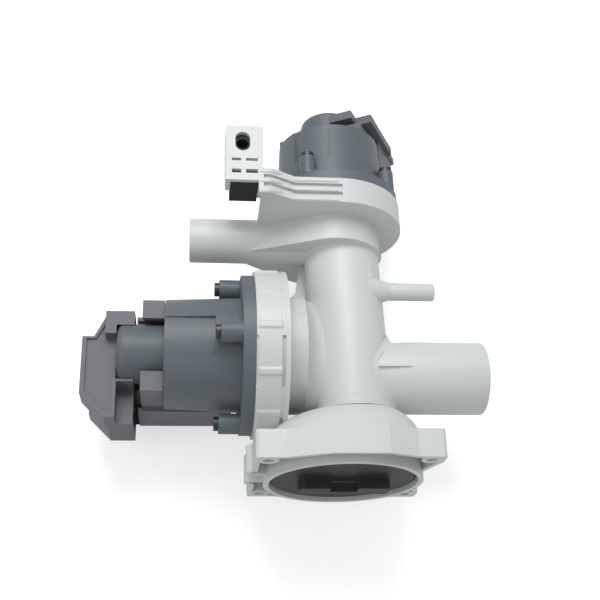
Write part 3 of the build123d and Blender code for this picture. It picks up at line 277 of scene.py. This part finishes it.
def tube_collar(name, node, tube, branch, fillet):
    """Fillet where a branch leaves the main tube on its right.

    A ball of the fillet's radius rolls round between both tubes. Each row is its arc from the
    main tube to the branch, closed through a point just inside both walls.
    """
    axis_x, radius = tube
    branch_y, branch_z, branch_radius = branch
    turn = np.linspace(0, 2 * np.pi, round_steps, endpoint=False)
    across = np.stack((np.zeros_like(turn), np.cos(turn), np.sin(turn)), axis=1)
    y = branch_y + (branch_radius + fillet) * across[:, 1]
    z = branch_z + (branch_radius + fillet) * across[:, 2]
    reach = np.sqrt((radius + fillet) ** 2 - z ** 2)
    centre = np.stack((axis_x + reach, y, z), axis=1)
    to_tube = np.stack((-reach, np.zeros_like(y), -z), axis=1) / (radius + fillet)
    share = np.linspace(0, 1, arc_steps)[None, :, None]
    opening = np.arccos(np.clip(np.sum(to_tube * -across, axis=1), -1, 1))[:, None, None]
    from_tube = np.sin((1 - share) * opening) * to_tube[:, None]
    to_branch = np.sin(share * opening) * across[:, None]
    arc = centre[:, None] + fillet * (from_tube - to_branch) / np.sin(opening)
    inner_z = branch_z + (branch_radius - collar_sink) * across[:, 2]
    inner = np.stack(
        (
            axis_x + (np.sqrt(radius ** 2 - inner_z ** 2) - collar_sink),
            branch_y + (branch_radius - collar_sink) * across[:, 1],
            inner_z,
        ),
        axis=1,
    )
    grid_piece(name, np.concatenate((arc, inner[:, None]), axis=1) * MM, node)


def ring_of_profile(name, node, axis_x, profile):
    """Ring about a line along Y: a closed profile of radius and depth carried round a circle."""
    turn = np.linspace(0, 2 * np.pi, ring_steps, endpoint=False)[:, None]
    radius, depth = np.array(profile, float).T
    points = np.stack(
        (
            axis_x + np.cos(turn) * radius,
            np.broadcast_to(depth, (len(turn), len(depth))),
            np.sin(turn) * radius,
        ),
        axis=-1,
    )
    grid_piece(name, points * MM, node)


def hollow_arc(start, end, corner):
    """Points of a hollow curve: a parabola from start to end that leans on a corner."""
    share = np.linspace(0, 1, arc_steps)[:, None]
    start, end, corner = (np.array(point, float) for point in (start, end, corner))
    return (1 - share) ** 2 * start + 2 * share * (1 - share) * corner + share ** 2 * end


def neck_root(name, node):
    """Skirt between the drain chamber's neck and the main tube.

    Rows are half ovals over half ovals across X. Towards the tube their width and lower height
    shrink a little, and the upper height falls with the cube of the way left.
    """
    way = np.linspace(0, 1, neck_steps)[:, None]
    turn = np.linspace(0, 2 * np.pi, round_steps, endpoint=False)[None, :]
    width = neck_radius - neck_narrowing * way
    upper = (neck_radius - neck_high_root) * (1 - way) ** 3 + neck_high_root
    lower = neck_radius - neck_low_root * way
    height = np.where(np.sin(turn) > 0, upper, lower)
    points = np.stack(
        (
            np.broadcast_to(neck_end_x + neck_reach * way, height.shape),
            drain_axis_y + width * np.cos(turn),
            height * np.sin(turn),
        ),
        axis=-1,
    )
    grid_piece(name, points * MM, node, close_rows=False)


def ridged_band(name, node):
    """Sleeve round the drain flange with low grip ridges along it.

    The radius is the sleeve's own plus the ridge height, divided by one plus the eighth power of
    the angle from the nearest ridge, counted in half ridge widths.
    """
    turn = np.linspace(0, 2 * np.pi, band_steps, endpoint=False)
    pitch = 2 * np.pi / band_ridges
    from_ridge = (turn - band_first_ridge + pitch / 2) % pitch - pitch / 2
    fall = (from_ridge / band_ridge_half) ** band_ridge_power
    radius = band_radius + band_ridge_height / (1 + fall)
    depth = np.array((band_sink, band_edge, 0, 0, band_edge, band_sink))
    inset = np.array((0, 0, band_edge, -band_edge, 0, 0))
    along = np.array((band_start,) * 3 + (band_end,) * 3) + inset
    out = radius[:, None] - depth
    points = np.stack(
        (
            np.broadcast_to(along, out.shape),
            drain_axis_y + out * np.sin(turn)[:, None],
            out * np.cos(turn)[:, None],
        ),
        axis=-1,
    )
    grid_piece(name, points * MM, node)


def arm_ridge(name, node, middle_y):
    """Rounded bar along the top of the arm.

    Its middle line keeps the arm's height and rises to the bracket on a half cosine wave. Its
    cross section is a half round, flattened by a power of the cosine and of the sine.
    """
    along = np.linspace(0, 1, ridge_steps)
    x = arm_start_x + (arm_end_x - arm_start_x) * along
    rise = np.clip((arm_bend_x - x) / (arm_bend_x - arm_rise_x), 0, 1)
    z = arm_low_z + (arm_high_z - arm_low_z) * (1 - np.cos(np.pi * rise)) / 2
    sway = arm_sway * np.sin(np.pi * rise)
    turn = np.linspace(0, np.pi, ridge_arc_steps)
    width = ridge_half_width * np.sign(np.cos(turn)) * np.abs(np.cos(turn)) ** ridge_flatness
    height = ridge_lift * np.sin(turn) ** ridge_flatness
    top = np.stack(
        (
            np.broadcast_to(x[:, None], (ridge_steps, ridge_arc_steps)),
            middle_y + sway[:, None] + width[None, :],
            z[:, None] + height[None, :],
        ),
        axis=-1,
    )
    foot = top[:, [-1, 0]].copy()
    foot[..., 2] = z[:, None] - ridge_lift
    grid_piece(name, np.concatenate((top, foot), axis=1) * MM, node, close_rows=False)


def merged_mesh(name, node):
    """Copy of a CAD node's mesh, with doubles merged and flat areas joined."""
    mesh = bpy.data.meshes.new(name)
    work = bmesh.new()
    work.from_mesh(frame["nodes"][node].data)
    bmesh.ops.remove_doubles(work, verts=work.verts, dist=weld_distance)
    bmesh.ops.dissolve_limit(
        work,
        angle_limit=flat_angle,
        verts=work.verts,
        edges=work.edges,
        use_dissolve_boundaries=False,
    )
    for edge in work.edges:
        edge.smooth = edge.calc_face_angle(0) < crease_angle
    for face in work.faces:
        face.smooth = True
    work.to_mesh(mesh)
    work.free()
    return mesh


def joined_mesh(name, nodes):
    """One closed mesh from CAD nodes whose flat faces meet: the union of their merged copies."""
    fields = bpy.data.collections.new(name + " fields")
    bpy.context.scene.collection.children.link(fields)
    first = bpy.data.objects.new(name, merged_mesh(name, nodes[0]))
    bpy.context.scene.collection.objects.link(first)
    for node in nodes[1:]:
        fields.objects.link(bpy.data.objects.new(node + " field", merged_mesh(node, node)))
    union = first.modifiers.new("union", "BOOLEAN")
    union.operation = "UNION"
    union.solver = "EXACT"
    union.operand_type = "COLLECTION"
    union.collection = fields
    finished = first.evaluated_get(bpy.context.evaluated_depsgraph_get())
    mesh = bpy.data.meshes.new_from_object(finished)
    for field in (*fields.objects, first):
        bpy.data.objects.remove(field)
    bpy.data.collections.remove(fields)
    return mesh


def soft_copy(node, width):
    """Replaces a CAD node by its own shape with rounded edges and smooth shading."""
    piece = add_piece(node + "_soft", merged_mesh(node, node), node)
    round_edges(piece, width)
    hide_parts(node)


# Main tube in millimetres: its radius, and where its axis lies at the front and at the rear
tube_radius = 17.8
tube_front_x = 7.2
tube_front_y = 12.0
tube_rear_x = 3.9
tube_rear_y = 109.9
main_tube = "housing_main_tube"


def tube_x(y):
    """Place of the main tube's axis at a depth: it leans a little to the left."""
    share = (y - tube_front_y) / (tube_rear_y - tube_front_y)
    return tube_front_x + (tube_rear_x - tube_front_x) * share


# Collar at the root of the inlet
inlet_y = 46.8
inlet_z = 0.0
inlet_radius = 15.9
inlet_fillet = 4.5
collar_sink = 0.6
tube_collar(
    "inlet_collar", main_tube, (tube_x(inlet_y), tube_radius), (inlet_y, inlet_z, inlet_radius),
    inlet_fillet,
)

# Hollow fillets at both ends of the main tube, as points of radius and depth
fillet_start_radius = 17.75
shoulder_x = 6.7
shoulder_start = (fillet_start_radius, 31.5)
shoulder_end = (22.8, 24.6)
shoulder_corner = (17.9, 27.0)
shoulder_inside = ((20.0, 24.0), (16.8, 29.0))
volute_x = 4.0
volute_start = (fillet_start_radius, 105.6)
volute_end = (19.6, 107.6)
volute_corner = (17.8, 107.5)
volute_inside = ((17.0, 107.8),)
ring_of_profile(
    "shoulder_fillet", main_tube, shoulder_x,
    [*hollow_arc(shoulder_start, shoulder_end, shoulder_corner), *shoulder_inside],
)
ring_of_profile(
    "volute_fillet", main_tube, volute_x,
    [*hollow_arc(volute_start, volute_end, volute_corner), *volute_inside],
)

# Neck and flange of the drain chamber
drain_axis_y = 57.2
neck_end_x = -16.5
neck_reach = 10.5
neck_radius = 26.9
neck_narrowing = 1.5
neck_low_root = 3.0
neck_high_root = 12.3
band_start = -39.0
band_end = -28.7
band_radius = 38.45
band_sink = 2.0
band_edge = 0.3
band_ridges = 12
band_first_ridge = math.radians(-1)
band_ridge_height = 0.8
band_ridge_half = math.radians(2.2)
band_ridge_power = 8
neck_root("neck_root", "housing_drain_chamber")
ridged_band("drain_band", "housing_drain_chamber")

# Ridges of the arm
arm_start_x = -1.0
arm_end_x = -37.5
arm_bend_x = -21.0
arm_rise_x = -34.0
arm_low_z = 33.2
arm_high_z = 39.7
arm_sway = 0.5
ridge_count = 3
ridge_first_y = 121.7
ridge_pitch = 5.0
ridge_half_width = 1.15
ridge_lift = 0.7
ridge_flatness = 0.6
for number in range(ridge_count):
    ridge_y = ridge_first_y + ridge_pitch * number
    arm_ridge(f"arm_ridge_{number + 1}", "housing_bracket_arm", ridge_y)

# Width of the rounded edges of each finish, in millimetres
edge_widths = {
    "housing_plastic": 0.4,
    "black_rubber": 0.4,
    "knob_plastic": 0.4,
    "basket_plastic": 0.2,
    "motor_plastic": 0.3,
    "cover_plastic": 0.3,
    "screw_steel": 0.15,
    "impeller_plastic": 0.3,
    "core_steel": 0.1,
    "bobbin_plastic": 0.2,
    "winding_copper": 0.8,
}

# The moulded housing as one piece, and every other node with rounded edges
housing_nodes = sorted(node for node in frame["nodes"] if node.startswith("housing_"))
housing_mesh = joined_mesh("housing_moulding", housing_nodes)
housing = add_piece("housing_moulding", housing_mesh, housing_nodes[0])
round_edges(housing, edge_widths["housing_plastic"] * MM)
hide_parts(*housing_nodes)
for node in sorted(frame["nodes"]):
    if node not in housing_nodes:
        soft_copy(node, edge_widths.get(slot_of[node], 0) * MM)

# Floor and light
floor_drop = 0.0002
floor_half = 1.5
floor_tone = (0.85, 0.85, 0.85, 1)
floor_roughness = 0.9
floor_glow = 0.5
room_light = 0.5
white = (1, 1, 1, 1)

floor_z = cad_box[0][2] - floor_drop
floor_corners = ((-1, -1), (1, -1), (1, 1), (-1, 1))
floor_mesh = bpy.data.meshes.new("floor")
floor_mesh.from_pydata(
    [(floor_half * x, floor_half * y, floor_z) for x, y in floor_corners], [], [(0, 1, 2, 3)]
)
floor = bpy.data.objects.new("floor", floor_mesh)
bpy.context.scene.collection.objects.link(floor)
floor_paint = bpy.data.materials.new("floor paint")
floor_paint.use_nodes = True
tree = floor_paint.node_tree
paint = tree.nodes["Principled BSDF"]
paint.inputs["Base Color"].default_value = floor_tone
paint.inputs["Roughness"].default_value = floor_roughness
rays = tree.nodes.new("ShaderNodeLightPath")
glow = tree.nodes.new("ShaderNodeMath")
glow.operation = "MULTIPLY"
glow.inputs[1].default_value = floor_glow
tree.links.new(rays.outputs["Is Camera Ray"], glow.inputs[0])
tree.links.new(glow.outputs["Value"], paint.inputs["Emission Strength"])
paint.inputs["Emission Color"].default_value = white
floor_mesh.materials.append(floor_paint)

world = bpy.data.worlds.new("room")
bpy.context.scene.world = world
world.use_nodes = True
world.node_tree.nodes["Background"].inputs["Color"].default_value = white
world.node_tree.nodes["Background"].inputs["Strength"].default_value = room_light


def lamp(name, place, aim, size, power):
    """Square soft lamp that faces a point."""
    light = bpy.data.lights.new(name, "AREA")
    light.size = size
    light.energy = power
    obj = bpy.data.objects.new(name, light)
    way = Vector(aim) - Vector(place)
    obj.matrix_world = Matrix.Translation(place) @ way.to_track_quat("-Z", "Y").to_matrix().to_4x4()
    bpy.context.scene.collection.objects.link(obj)


pump_middle = (0, 0.08, 0)
lamp("top lamp", (-0.1, 0.5, 0.75), pump_middle, size=0.5, power=4.2)
lamp("side lamp", (-0.6, -0.2, 0.7), pump_middle, size=0.4, power=1.0)
